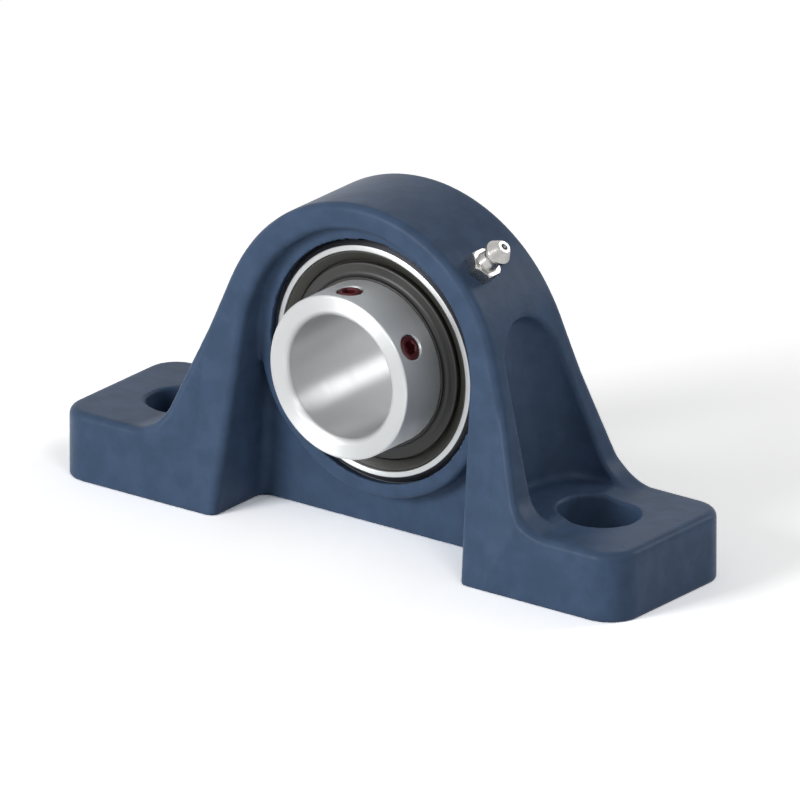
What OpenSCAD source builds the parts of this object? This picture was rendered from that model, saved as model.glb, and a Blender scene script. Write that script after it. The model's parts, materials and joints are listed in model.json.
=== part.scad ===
// Pillow block bearing: a cast housing that holds a self-aligning insert ball bearing.
// Millimetres. X runs along the foot, Y from the front to the back, Z up.
// The origin lies on the base plane, under the centre of the bearing.

/* [Foot] */
// Length of the housing's foot
foot_length = 165; // [158:1:180]
// Depth of the foot, front to back
foot_depth = 44; // [42:1:50]
// How far the foot's middle lies in front of the bearing's
foot_forward = 1.4; // [0:0.2:2]
// Thickness of the foot
foot_height = 17; // [14:0.5:20]
// Radius of the foot's corners in plan
foot_corner_r = 8; // [4:0.5:10]
// Rounding along the foot's top edges
foot_edge_r = 2.5; // [1:0.25:3.5]
// Distance between the two bolt slots
bolt_spacing = 121; // [118:1:126]
// Width of each bolt slot
slot_width = 17; // [12:0.5:18]
// Length of each bolt slot
slot_length = 20; // [18:0.5:23]

/* [Arch] */
// Height of the shaft's axis above the base
centre_height = 42.9; // [41:0.1:48]
// Width of the rim between the front recess and the arch's top
rim_width = 6.7; // [6:0.1:10]
// How far the centre of the arch's round lies below the bearing's
arch_drop = 1.4; // [0:0.2:2]
// Depth of the arch where the raked legs end
arch_depth = 27.6; // [25:0.2:32]
// Depth of the arch at its very top
arch_top_depth = 26.6; // [24:0.2:27]
// Height at which the raked faces turn upright
rake_height = 60; // [46:1:66]
// Angle of the flanks from the vertical
flank_angle = 20.4; // [14:0.2:22]
// Hollow fillet between flank and foot
flank_fillet_r = 7; // [4:0.5:9]
// Thickness of the leg at the base, beside the recess
leg_base = 7; // [5:0.5:9]

/* [Flank pockets] */
// Wall left in front of and behind each pocket
pocket_wall = 5; // [3.5:0.25:6]
// Height of the pocket's rounded top
pocket_top = 59.5; // [52:0.5:63]
// Clearance round the bolt at the pocket's floor
bolt_clear_r = 20.3; // [19:0.1:21]
// Lean of the pocket's back wall
pocket_lean = 7.6; // [4:0.2:9]

/* [Hub and recess] */
// Width of the hub that holds the seat
hub_width = 18; // [17:0.5:20]
// Wall of the hub outside the seat's widest circle
hub_wall = 2.6; // [2:0.1:3.5]
// Step from the bearing's sphere to the recess wall
recess_step = 2.2; // [1.6:0.1:3]
// How much wider the recess is at the base
recess_flare = 2.8; // [1:0.2:4]
// Thickness of the web under the hub
web_thickness = 8; // [6:0.5:12]
// Running clearance between the seat and the outer ring
seat_gap = 0.05; // [0.03:0.01:0.1]

/* [Insert bearing] */
// Bore of the inner ring
bore_d = 30; // [28:0.5:31]
// Diameter of the spherical outer ring
bearing_od = 62; // [61.5:0.5:66]
// Width of the outer ring
outer_width = 17; // [16:0.5:18]
// Width of the inner ring
inner_width = 38.1; // [36:0.1:42]
// From the middle of the balls to the front of the inner ring
front_reach = 22.2; // [21:0.1:24]
// Wall of the inner ring
inner_wall = 5.1; // [4.8:0.1:5.4]
// Chamfer at the ends of the bore
bore_chamfer = 1.1; // [0.5:0.1:1.6]
// Chamfer on the inner ring's outer edges
rim_chamfer = 0.6; // [0.3:0.1:1.2]
// Outer edge of the outer ring's ground face
face_r = 28.2; // [27.6:0.1:28.6]

/* [Balls and cage] */
// Number of balls
ball_count = 9; // [7:1:9]
// Diameter of each ball
ball_d = 9.525; // [9:0.025:9.8]
// Radius of the raceway grooves
race_r = 4.95; // [4.93:0.01:5.1]
// From the inner ring's outside to the balls' pitch circle
pitch_offset = 2.9; // [2.8:0.05:3.1]
// Clearance between balls and races
ball_gap = 0.06; // [0.04:0.01:0.1]
// Thickness of the cage, in and out
cage_wall = 3.4; // [3:0.1:3.8]
// Clearance between each ball and its cage pocket
pocket_gap = 0.14; // [0.1:0.02:0.2]
// Wall of the cage behind the balls
cage_back = 0.7; // [0.5:0.05:0.75]

/* [Seals] */
// Outer radius of the seals
seal_r = 27; // [26.3:0.05:27.2]
// Thickness of the pressed steel in shields and flingers
sheet = 0.6; // [0.5:0.05:0.8]
// Gap between a turning piece and a fixed one
seal_gap = 0.35; // [0.25:0.05:0.4]
// Clearance of a piece pressed on its seat
press_gap = 0.02; // [0.01:0.01:0.04]

/* [Set screws] */
// Diameter of the set screws
screw_d = 6; // [4:0.5:6]
// Length of the set screws
screw_length = 4.9; // [4:0.1:5]
// From the front of the inner ring to the screws' axes
screw_inset = 5.4; // [4.8:0.1:7]
// Width across the flats of the screws' sockets
socket_af = 3; // [2:0.25:3]
// Depth of the screws' sockets
socket_depth = 2.6; // [2:0.1:3]
// Directions of the screws round the ring, from +X towards +Z
screw_angles = [92, 30];

/* [Grease nipple] */
// Direction of the nipple, from +X towards +Z
nipple_angle = 45; // [40:1:55]
// Distance of the nipple in front of the ring's middle
nipple_forward = 5; // [3:0.5:6]
// Diameter of the nipple's thread
nipple_thread_d = 6; // [5:0.5:6]
// Width across the flats of the nipple's hexagon
nipple_af = 7.2; // [6.5:0.1:8]
// Diameter of the nipple's head
nipple_head_d = 6.4; // [6:0.1:6.8]
// Height of the nipple above the arch
nipple_height = 10.4; // [9.8:0.1:12]
// Diameter of the check ball
nipple_ball_d = 2.3; // [2.1:0.05:2.4]

/* [Hidden] */
$fn = 96;
FAR = 200;
over = 1;
// Depth to which a straight side ends inside the round that it runs into
inset = 0.02;

housing_paint = [0.24, 0.32, 0.43];
bright_steel = [0.82, 0.83, 0.84];
ring_steel = [0.74, 0.75, 0.77];
black_steel = [0.17, 0.17, 0.18];
black_rubber = [0.1, 0.1, 0.1];
dark_red = [0.38, 0.07, 0.08];
nylon = [0.85, 0.82, 0.7];
plated_steel = [0.7, 0.71, 0.72];

// Radii that follow from the bearing's size
sphere_r = bearing_od / 2;
seat_r = sphere_r + seat_gap;
recess_r = sphere_r + recess_step;
hub_r = sphere_r + hub_wall;
arch_r = recess_r + rim_width + arch_drop;
inner_od_r = bore_d / 2 + inner_wall;
pitch_r = inner_od_r + pitch_offset;
ball_r = ball_d / 2;
outer_race_r = pitch_r + ball_r + ball_gap - race_r;
inner_race_r = pitch_r - ball_r - ball_gap + race_r;
land_r = seal_r - 1.8;

// Outline of the arch seen from the front
arch_z = centre_height - arch_drop;
tangent_x = (arch_r - inset) * cos(flank_angle);
tangent_z = arch_z + (arch_r - inset) * sin(flank_angle);
flank_x = tangent_x + (tangent_z - foot_height) * tan(flank_angle);
fillet_x = flank_x + flank_fillet_r * (1 - sin(flank_angle)) / cos(flank_angle);
leg_x = recess_r + recess_flare + leg_base;
bolt_x = bolt_spacing / 2;

// Outline of the arch seen from the side
foot_front = foot_depth / 2 + foot_forward;
foot_rear = foot_depth / 2 - foot_forward;
top_z = arch_z + arch_r;

// Seal stations, measured outwards from the middle of the balls
face_y = outer_width / 2;
shield_y = 5.85;
shield_top = shield_y + sheet;
lip_top = shield_top + 0.35;
flinger_y = lip_top + seal_gap + 0.2;
flinger_top = flinger_y + sheet;
collar_top = flinger_top + 1.2;
cone_in_r = seal_r - 2.6;
flinger_r = cone_in_r - seal_gap;
lip_r = inner_od_r + 0.05;
bond_r = inner_od_r + 1.1;

// Cage stations along the axis
cage_open_y = -3.2;
cage_back_y = ball_r + pocket_gap + cage_back;

screw_y = -front_reach + screw_inset;
screw_gap = 0.04;
screw_r = screw_d / 2 - screw_gap;
screw_tip_r = bore_d / 2 + 0.15;

// Distance of the nipple's seat from the bearing's centre, a little inside the arch's round
seat_cut = 0.2;
nipple_r = sqrt(pow(arch_r, 2) - pow(arch_drop * cos(nipple_angle), 2)) - arch_drop * sin(nipple_angle) - seat_cut;

// Nipple stations, measured outwards from its seat
shank_length = 6;
hex_height = 3.4;
head_low = hex_height + 2.8;
mouth_r = nipple_ball_d * 0.35;
chamber_r = nipple_ball_d / 2 + 0.15;
chamber_low = 2;
chamber_top = nipple_height - 1.5;
cone_height = chamber_r - mouth_r;
ball_z = chamber_top + chamber_r - (nipple_ball_d / 2 + 0.03) * sqrt(2);

// Moves children to the centre of the bearing
module at_bearing() translate([0, 0, centre_height]) children();

// Turns a profile of radius and distance along Y about the shaft's axis
module turned() at_bearing() rotate([-90, 0, 0]) rotate_extrude() children();

// Extrudes an outline drawn in X and Z along Y, between two stations
module along_y(y0, y1) translate([0, y1, 0]) rotate([90, 0, 0]) linear_extrude(y1 - y0) children();

// Extrudes an outline drawn in Y and Z along X, between two stations
module along_x(x0, x1) translate([x0, 0, 0]) rotate([90, 0, 90]) linear_extrude(x1 - x0) children();

// Places children on a radius of the bearing: their Z axis points outwards
module on_radius(angle, y) at_bearing() translate([0, y, 0]) rotate([0, 90 - angle, 0]) children();

// Makes children twice, on the right and on the left
module both_sides() {
    children();
    mirror([1, 0, 0]) children();
}

// Rectangle centred on the origin with round corners
module round_rect(size, r) {
    square([size.x - 2 * r, size.y], center = true);
    square([size.x, size.y - 2 * r], center = true);
    for (sx = [-1, 1], sy = [-1, 1])
        translate([sx * (size.x / 2 - r), sy * (size.y / 2 - r)]) circle(r);
}

// Block outline from 0 up to a height, with its two upper corners rounded
module crowned(width, height, r) {
    translate([-width / 2, 0]) square([width, height - r]);
    translate([-width / 2 + r, 0]) square([width - 2 * r, height]);
    for (s = [-1, 1]) translate([s * (width / 2 - r), height - r]) circle(r);
}

// Foot with rounded corners and edges, open in the middle where the legs stand
module foot() {
    intersection() {
        translate([0, -foot_forward, 0]) intersection() {
            linear_extrude(foot_height) round_rect([foot_length, foot_depth], foot_corner_r);
            along_y(-foot_depth, foot_depth) crowned(foot_length, foot_height, foot_edge_r);
            along_x(-foot_length, foot_length) crowned(foot_depth, foot_height, foot_edge_r);
        }
        both_sides() along_y(-foot_depth, foot_depth)
            polygon([[leg_x, 0], [foot_length, 0], [foot_length, foot_height], [flank_x - over, foot_height]]);
    }
}

// Arch seen from the front: a round top, straight flanks and hollow fillets at the foot
module arch_outline() {
    translate([0, arch_z]) circle(arch_r);
    polygon([
        [-leg_x, 0], [leg_x, 0], [flank_x, foot_height], [tangent_x, tangent_z],
        [-tangent_x, tangent_z], [-flank_x, foot_height]
    ]);
    for (s = [-1, 1]) scale([s, 1]) difference() {
        polygon([
            [flank_x - over, foot_height - over], [fillet_x, foot_height - over], [fillet_x, foot_height],
            [fillet_x - flank_fillet_r * cos(flank_angle),
                foot_height + flank_fillet_r * (1 - sin(flank_angle))],
            [flank_x - 2 * over, foot_height + over]
        ]);
        translate([fillet_x, foot_height + flank_fillet_r]) circle(flank_fillet_r);
    }
}

// Arch seen from the side: raked legs below, a slight draft above
module side_outline() {
    half = arch_depth / 2;
    half_top = arch_top_depth / 2;
    polygon([
        [-foot_front, 0], [foot_rear, 0], [half, rake_height],
        [half_top, top_z + over], [-half_top, top_z + over], [-half, rake_height]
    ]);
}

// Recess in one face: a round counterbore that opens downwards to the base, round the hub
module recess() {
    along_y(hub_width / 2, foot_depth) translate([0, centre_height]) circle(recess_r);
    difference() {
        along_y(web_thickness / 2, foot_depth) polygon([
            [-recess_r - recess_flare, -over], [recess_r + recess_flare, -over],
            [recess_r, centre_height], [-recess_r, centre_height]
        ]);
        along_y(0, hub_width / 2) translate([0, centre_height]) circle(hub_r);
    }
}

// Pocket seen from the side: two raked walls and a round top that touches both
module pocket_outline() {
    front_slope = (foot_front - arch_depth / 2) / rake_height;
    rear_slope = (foot_rear - arch_depth / 2) / rake_height;
    front_low = foot_front - pocket_wall;
    rear_low = foot_rear - pocket_wall;
    front_slant = norm([1, front_slope]);
    rear_slant = norm([1, rear_slope]);
    top_r = (front_low + rear_low - (front_slope + rear_slope) * pocket_top)
        / (front_slant + rear_slant - front_slope - rear_slope);
    top_centre_z = pocket_top - top_r;
    top_centre_y = top_r * front_slant - front_low + front_slope * top_centre_z;
    front_touch = (top_r - inset) / front_slant;
    rear_touch = (top_r - inset) / rear_slant;
    translate([top_centre_y, top_centre_z]) circle(top_r);
    polygon([
        [-front_low, 0], [rear_low, 0],
        [top_centre_y + rear_touch, top_centre_z + rear_touch * rear_slope],
        [top_centre_y - front_touch, top_centre_z + front_touch * front_slope]
    ]);
}

// Pocket in the right flank, over the foot: its back wall is part of a leaning round
module flank_pocket() {
    intersection() {
        along_x(0, foot_length) pocket_outline();
        translate([bolt_x, -foot_forward, foot_height]) rotate([0, -pocket_lean, 0])
            translate([0, 0, -foot_height]) cylinder(r = bolt_clear_r, h = FAR);
        translate([0, -foot_depth, foot_height]) cube([foot_length, 2 * foot_depth, FAR]);
    }
}

// Slot for the right bolt, right through the foot
module bolt_slot() {
    reach = (slot_length - slot_width) / 2;
    translate([bolt_x, -foot_forward, -over]) linear_extrude(foot_height + 2 * over) {
        square([2 * reach, slot_width], center = true);
        for (s = [-1, 1]) translate([s * reach, 0]) circle(d = slot_width);
    }
}

// Two slots at the back of the hub, through which the bearing is swung into its seat
module loading_slots() {
    at_bearing() translate([-seat_r, 0, -outer_width / 2 - 0.3])
        cube([2 * seat_r, foot_depth, outer_width + 0.6]);
}

// Tapped hole and grease way for the nipple, with its spot face
module nipple_hole() {
    on_radius(nipple_angle, -nipple_forward) {
        translate([0, 0, nipple_r]) cylinder(r = nipple_af * 0.7, h = 5);
        translate([0, 0, nipple_r - shank_length - 0.5]) cylinder(d = nipple_thread_d, h = shank_length + over);
        translate([0, 0, sphere_r - 2]) cylinder(d = 2.4, h = arch_r - sphere_r);
    }
}

module housing() color(housing_paint) difference() {
    union() {
        foot();
        intersection() {
            along_y(-foot_depth, foot_depth) arch_outline();
            along_x(-foot_length, foot_length) side_outline();
        }
    }
    recess();
    mirror([0, 1, 0]) recess();
    both_sides() flank_pocket();
    both_sides() bolt_slot();
    at_bearing() sphere(seat_r);
    loading_slots();
    nipple_hole();
}

// Outer ring: a sphere outside, a race groove inside, a counterbore for each seal
module outer_ring() color(bright_steel) turned() difference() {
    intersection() {
        circle(sphere_r);
        translate([land_r, -face_y]) square([sphere_r, outer_width]);
    }
    translate([outer_race_r, 0]) circle(race_r);
    for (s = [-1, 1]) scale([1, s]) {
        translate([0, shield_y]) square([seal_r, face_y]);
        polygon([[face_r, face_y], [face_r + 3, face_y - 3], [face_r + 3, face_y + over], [face_r, face_y + over]]);
    }
    translate([0, -5.1]) square([land_r, 10.2]);
}

// Inner ring: extended on both sides, with a race groove and the tapped holes for the set screws
module inner_ring() color(bright_steel) {
    front = -front_reach;
    back = inner_width - front_reach;
    r_in = bore_d / 2;
    difference() {
        turned() difference() {
            polygon([
                [r_in + bore_chamfer, front], [inner_od_r - rim_chamfer, front], [inner_od_r, front + rim_chamfer],
                [inner_od_r, back - rim_chamfer], [inner_od_r - rim_chamfer, back], [r_in + bore_chamfer, back],
                [r_in, back - bore_chamfer], [r_in, front + bore_chamfer]
            ]);
            translate([inner_race_r, 0]) circle(race_r);
        }
        for (angle = screw_angles) on_radius(angle, screw_y) {
            translate([0, 0, r_in - 4]) cylinder(d = screw_d, h = inner_wall + 6);
            translate([0, 0, inner_od_r - 0.8]) cylinder(r1 = screw_d / 2 - 0.2, r2 = screw_d / 2 + 0.8, h = 1);
        }
    }
}

// Direction of a ball round the ring
function ball_angle(i) = 90 + (i - 1) * 360 / ball_count;

module ball(i) color(ring_steel) on_radius(ball_angle(i), 0) translate([0, 0, pitch_r]) sphere(ball_r);

// Snap cage: a ring closed at the back, with round pockets and a relief between each two
module cage() color(nylon) difference() {
    turned() translate([pitch_r - cage_wall / 2, cage_open_y]) square([cage_wall, cage_back_y - cage_open_y]);
    for (i = [1 : ball_count]) {
        on_radius(ball_angle(i), 0) translate([0, 0, pitch_r]) sphere(ball_r + pocket_gap, $fn = 24);
        on_radius(ball_angle(i + 0.5), cage_open_y) translate([0, 0, pitch_r - cage_wall])
            cylinder(r = 1.4, h = 2 * cage_wall, $fn = 32);
    }
}

// Pressed shield: a flat washer with a sloping collar, seated in the outer ring
module seal_shield() color(black_steel) turned() polygon([
    [bond_r, shield_y + press_gap], [seal_r - press_gap, shield_y + press_gap],
    [seal_r - press_gap, face_y - 0.6], [seal_r - 0.4, face_y - 0.3],
    [cone_in_r, shield_top + 0.5], [cone_in_r, shield_top], [bond_r, shield_top]
]);

// Rubber lip on the shield's inner edge, which rubs on the inner ring
module seal_lip() color(black_rubber) turned() polygon([
    [lip_r, shield_top], [lip_r + 0.5, shield_y - 0.1], [bond_r - press_gap, shield_y - 0.1],
    [bond_r - press_gap, shield_top + press_gap], [bond_r + 1.4, shield_top + press_gap],
    [bond_r + 1.3, lip_top], [bond_r - 0.3, lip_top]
]);

// Flinger: a washer with a collar pressed on the inner ring and a rim bent towards the shield
module flinger() color(black_steel) turned() polygon([
    [inner_od_r + press_gap, flinger_y], [flinger_r - sheet, flinger_y],
    [flinger_r - sheet, shield_top + seal_gap], [flinger_r, shield_top + seal_gap],
    [flinger_r, flinger_top - 0.3], [flinger_r - 0.3, flinger_top], [inner_od_r + 1.4, flinger_top],
    [inner_od_r + sheet + 0.1, flinger_top + 0.6], [inner_od_r + sheet, collar_top],
    [inner_od_r + press_gap, collar_top]
]);

// The same piece at the front, turned round to face -Y
module to_front() mirror([0, 1, 0]) children();

module front_seal_shield() to_front() seal_shield();
module front_seal_lip() to_front() seal_lip();
module front_flinger() to_front() flinger();
module rear_seal_shield() seal_shield();
module rear_seal_lip() seal_lip();
module rear_flinger() flinger();

// Set screw: a plain cylinder for the thread, a cup point and a hexagon socket
module set_screw(i) color(dark_red) on_radius(screw_angles[i - 1], screw_y) translate([0, 0, screw_tip_r])
    difference() {
        rotate_extrude() polygon([
            [0, 0.7], [screw_r * 0.45, 0], [screw_r * 0.7, 0], [screw_r, 0.8],
            [screw_r, screw_length - 0.4], [screw_r - 0.4, screw_length], [0, screw_length]
        ]);
        translate([0, 0, screw_length - socket_depth])
            cylinder(r = socket_af / sqrt(3), h = socket_depth + over, $fn = 6);
    }

// Places children on the nipple's axis, where its hexagon sits on the arch
module at_nipple() on_radius(nipple_angle, -nipple_forward) translate([0, 0, nipple_r]) children();

// Nipple: shank, hexagon, neck and a head that a grease gun grips, bored through for the check ball
module nipple_body() color(plated_steel) at_nipple() difference() {
    union() {
        translate([0, 0, -shank_length]) cylinder(d = nipple_thread_d - 0.06, h = shank_length + 0.5);
        intersection() {
            cylinder(r = nipple_af / sqrt(3), h = hex_height, $fn = 6);
            rotate_extrude() polygon([
                [0, 0], [nipple_af * 0.56, 0], [nipple_af * 0.6, 0.4], [nipple_af * 0.6, hex_height - 0.6],
                [nipple_af * 0.52, hex_height], [0, hex_height]
            ]);
        }
        rotate_extrude() polygon([
            [0, hex_height - over], [nipple_head_d * 0.42, hex_height - over], [nipple_head_d * 0.42, hex_height],
            [nipple_head_d * 0.36, head_low - 0.6], [nipple_head_d * 0.36, head_low], [nipple_head_d / 2, head_low + 0.9],
            [nipple_head_d / 2, head_low + 1.7], [nipple_head_d * 0.3, nipple_height - 0.4],
            [nipple_head_d * 0.25, nipple_height], [0, nipple_height]
        ]);
    }
    rotate_extrude() polygon([
        [0, chamber_low], [chamber_r, chamber_low], [chamber_r, chamber_top],
        [mouth_r, chamber_top + cone_height], [mouth_r, nipple_height + over], [0, nipple_height + over]
    ]);
    translate([0, 0, -shank_length - over]) cylinder(r = 0.8, h = shank_length + chamber_low + 2 * over);
}

module nipple_ball() color(ring_steel) at_nipple() translate([0, 0, ball_z]) sphere(nipple_ball_d / 2);

// Closed tube swept along points: a ring of sides at each point, square to the way there
function unit(v) = v / norm(v);
function way(points, i) = unit(points[min(i + 1, len(points) - 1)] - points[max(i - 1, 0)]);
function tube_ring(p, w, r, sides) = let (a = unit(cross(w, [0, 0, 1])), b = cross(w, a))
    [for (k = [0 : sides - 1]) p + r * (cos(360 * k / sides) * a + sin(360 * k / sides) * b)];

module tube(points, r, sides = 6) {
    n = len(points);
    polyhedron(
        points = [for (i = [0 : n - 1]) each tube_ring(points[i], way(points, i), r, sides)],
        faces = concat(
            [[for (k = [0 : sides - 1]) k]],
            [for (i = [0 : n - 2], k = [0 : sides - 1]) let (m = (k + 1) % sides)
                [i * sides + k, (i + 1) * sides + k, (i + 1) * sides + m, i * sides + m]],
            [[for (k = [sides - 1 : -1 : 0]) (n - 1) * sides + k]]
        )
    );
}

// Coil spring that holds the check ball against its seat
module nipple_spring() color(ring_steel) at_nipple() {
    wire_r = 0.15;
    coil_r = chamber_r - wire_r - 0.1;
    turns = 5;
    steps = 12;
    low = chamber_low + wire_r + 0.05;
    high = ball_z - nipple_ball_d / 2 - 0.05;
    tube([for (i = [0 : turns * steps])
        [coil_r * cos(i * 360 / steps), coil_r * sin(i * 360 / steps), low + (high - low) * i / (turns * steps)]],
        wire_r);
}

housing();
outer_ring();
inner_ring();
cage();
for (i = [1 : ball_count]) ball(i);
front_seal_shield();
front_seal_lip();
front_flinger();
rear_seal_shield();
rear_seal_lip();
rear_flinger();
for (i = [1 : len(screw_angles)]) set_screw(i);
nipple_body();
nipple_ball();
nipple_spring();
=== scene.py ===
import json
import math
import bpy
import numpy as np
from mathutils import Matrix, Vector


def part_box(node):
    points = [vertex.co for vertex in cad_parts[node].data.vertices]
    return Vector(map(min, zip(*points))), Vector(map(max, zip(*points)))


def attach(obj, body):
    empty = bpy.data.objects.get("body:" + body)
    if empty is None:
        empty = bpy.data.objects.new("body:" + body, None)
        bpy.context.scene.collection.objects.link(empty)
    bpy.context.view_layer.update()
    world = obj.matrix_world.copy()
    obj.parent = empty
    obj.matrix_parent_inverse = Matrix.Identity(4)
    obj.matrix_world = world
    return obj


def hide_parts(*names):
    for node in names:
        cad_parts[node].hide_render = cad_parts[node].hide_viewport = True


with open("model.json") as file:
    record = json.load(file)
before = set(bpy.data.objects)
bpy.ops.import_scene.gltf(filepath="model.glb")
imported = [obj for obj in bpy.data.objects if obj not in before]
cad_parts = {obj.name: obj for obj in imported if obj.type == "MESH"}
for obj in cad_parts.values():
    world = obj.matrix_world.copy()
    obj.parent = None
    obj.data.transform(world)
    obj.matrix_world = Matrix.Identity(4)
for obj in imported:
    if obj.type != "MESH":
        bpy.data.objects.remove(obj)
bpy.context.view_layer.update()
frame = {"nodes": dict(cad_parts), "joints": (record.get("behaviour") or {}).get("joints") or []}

# Pillow block bearing. Lengths in this file are millimetres until a mesh is made.

mm = 0.001

jointsByName = {joint["name"]: joint for joint in frame["joints"]}
bearingCentre = np.array(jointsByName["shaft_spin"]["pos_m"]) / mm
axisHeight = float(bearingCentre[2])


def nodeBox(node):
    # lowest and highest corner of a CAD node, in millimetres
    low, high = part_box(node)
    return np.array(low) / mm, np.array(high) / mm


# Fields: each gives the distance in millimetres from the points to a form, negative inside it.

def roundUnion(a, b, radius):
    # the nearer of two forms, with a hollow fillet of the given radius where they meet
    u = np.maximum(radius - a, 0)
    v = np.maximum(radius - b, 0)
    return np.maximum(radius, np.minimum(a, b)) - np.sqrt(u * u + v * v)


def roundCut(a, b, radius):
    # what two forms have in common, with its edge rounded to the given radius
    u = np.maximum(radius + a, 0)
    v = np.maximum(radius + b, 0)
    return np.minimum(-radius, np.maximum(a, b)) + np.sqrt(u * u + v * v)


def gridOfPoints(low, high, step):
    # points at equal steps that fill a box, as one array for each coordinate
    axes = [np.arange(low[i], high[i] + step, step, dtype=np.float64) for i in range(3)]
    return np.meshgrid(*axes, indexing="ij")


def netSurface(field, low, high, step, relax=4):
    # surface net: one point in each grid cell that the form's skin crosses, at the mean of the
    # crossings on the cell's edges, and one quad round each crossed edge; then the points are
    # evened out and moved back on to the skin along the field's slope
    x, y, z = gridOfPoints(low, high, step)
    origin = np.array([x[0, 0, 0], y[0, 0, 0], z[0, 0, 0]])
    values = field(x, y, z)
    shape = np.array(values.shape)
    cellCount = int(np.prod(shape))
    total = np.zeros((cellCount, 3))
    hits = np.zeros(cellCount)
    strides = np.array([shape[1] * shape[2], shape[2], 1])
    quads = []
    for axis in range(3):
        ahead = np.roll(values, -1, axis=axis)
        crossed = (values < 0) != (ahead < 0)
        keep = np.ones(values.shape, bool)
        for other in range(3):
            edge = [slice(None)] * 3
            edge[other] = slice(-1, None)
            keep[tuple(edge)] = False
            edge[other] = slice(0, 1)
            keep[tuple(edge)] = False
        place = np.argwhere(crossed & keep)
        here = values[tuple(place.T)]
        there = ahead[tuple(place.T)]
        point = place.astype(float)
        point[:, axis] += here / (here - there)
        side, up = [(1, 2), (2, 0), (0, 1)][axis]
        corners = []
        for stepSide, stepUp in ((0, 0), (-1, 0), (-1, -1), (0, -1)):
            cell = place.copy()
            cell[:, side] += stepSide
            cell[:, up] += stepUp
            corners.append(cell @ strides)
        for index in corners:
            for i in range(3):
                total[:, i] += np.bincount(index, point[:, i], cellCount)
            hits += np.bincount(index, minlength=cellCount)
        quad = np.stack(corners, axis=1)
        inward = here < 0
        quad[~inward] = quad[~inward][:, ::-1]
        quads.append(quad)
    used = np.flatnonzero(hits)
    renumber = np.full(cellCount, -1)
    renumber[used] = np.arange(len(used))
    points = origin + step * total[used] / hits[used][:, None]
    faces = renumber[np.concatenate(quads)]
    points = ontoSkin(field, points, step)
    pull = 0.6
    for _ in range(relax):
        points = (1 - pull) * points + pull * neighbourMean(points, faces)
        points = ontoSkin(field, points, step)
    return points, faces


def fieldSlope(field, points, reach):
    # slope of a field at points, from its change over a small reach along each axis
    slope = np.empty_like(points)
    for i in range(3):
        step = np.zeros(3)
        step[i] = reach
        slope[:, i] = (field(*(points + step).T) - field(*(points - step).T)) / (2 * reach)
    return slope


def ontoSkin(field, points, step):
    # moves points along the field's slope to where it is zero, at most half a grid step at a time
    for _ in range(2):
        slope = fieldSlope(field, points, step * 0.05)
        square = np.maximum((slope ** 2).sum(axis=1), 0.05)
        move = field(*points.T) / square
        move = np.clip(move, -step / 2, step / 2)
        points = points - slope * move[:, None]
    return points


def neighbourMean(points, faces):
    # mean of the points that share an edge of a face with each point
    total = np.zeros_like(points)
    count = np.zeros(len(points))
    for turn in (1, 3):
        near = np.roll(faces, turn, axis=1).ravel()
        mine = faces.ravel()
        for i in range(3):
            total[:, i] += np.bincount(mine, points[near, i], len(points))
        count += np.bincount(mine, minlength=len(points))
    return total / count[:, None]


# Meshes

def makeMesh(name, points, faces, normals=None):
    # object at the origin from points in millimetres and faces of four corners, shaded smooth
    mesh = bpy.data.meshes.new(name)
    mesh.vertices.add(len(points))
    mesh.vertices.foreach_set("co", (np.asarray(points) * mm).astype(np.float32).ravel())
    size = faces.shape[1]
    mesh.loops.add(faces.size)
    mesh.loops.foreach_set("vertex_index", faces.astype(np.int32).ravel())
    mesh.polygons.add(len(faces))
    mesh.polygons.foreach_set("loop_start", np.arange(0, faces.size, size, dtype=np.int32))
    mesh.update(calc_edges=True)
    mesh.polygons.foreach_set("use_smooth", np.ones(len(faces), bool))
    mesh.validate()
    if normals is not None:
        mesh.normals_split_custom_set_from_vertices(normals.astype(np.float32))
    piece = bpy.data.objects.new(name, mesh)
    bpy.context.scene.collection.objects.link(piece)
    return piece


def netPiece(name, field, low, high, step, origin=(0, 0, 0), axes=((1, 0, 0), (0, 1, 0), (0, 0, 1))):
    # piece whose skin is a field's surface net, shaded by the field's own slope; origin and axes
    # say where the field's own frame lies
    points, faces = netSurface(field, low, high, step)
    slope = fieldSlope(field, points, step * 0.2)
    slope /= np.linalg.norm(slope, axis=1)[:, None]
    axes = np.asarray(axes, float)
    print("made", name, len(faces), "faces")
    return makeMesh(name, points @ axes + np.asarray(origin), faces, slope @ axes)


def roundedProfile(corners, steps=5):
    # closed outline from corners of radius, distance along the shaft and edge radius: each edge is
    # a curve that bends from one side to the other, and an edge radius of 0 leaves one point
    corners = np.asarray(corners, float)
    outline = []
    for i, (r, y, edge) in enumerate(corners):
        here = np.array([r, y])
        if edge == 0:
            outline.append(here)
            continue
        before = corners[i - 1, :2] - here
        after = corners[(i + 1) % len(corners), :2] - here
        start = here + before * min(edge / np.linalg.norm(before), 0.45)
        end = here + after * min(edge / np.linalg.norm(after), 0.45)
        for t in np.linspace(0, 1, steps):
            outline.append((1 - t) ** 2 * start + 2 * t * (1 - t) * here + t ** 2 * end)
    return np.array(outline)


def arcCorners(centreR, centreY, radius, first, last, count=24):
    # points on an arc of an outline, between two angles in degrees from the radius towards +Y
    angles = np.radians(np.linspace(first, last, count))
    return [(centreR + radius * math.cos(a), centreY + radius * math.sin(a), 0) for a in angles]


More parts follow.
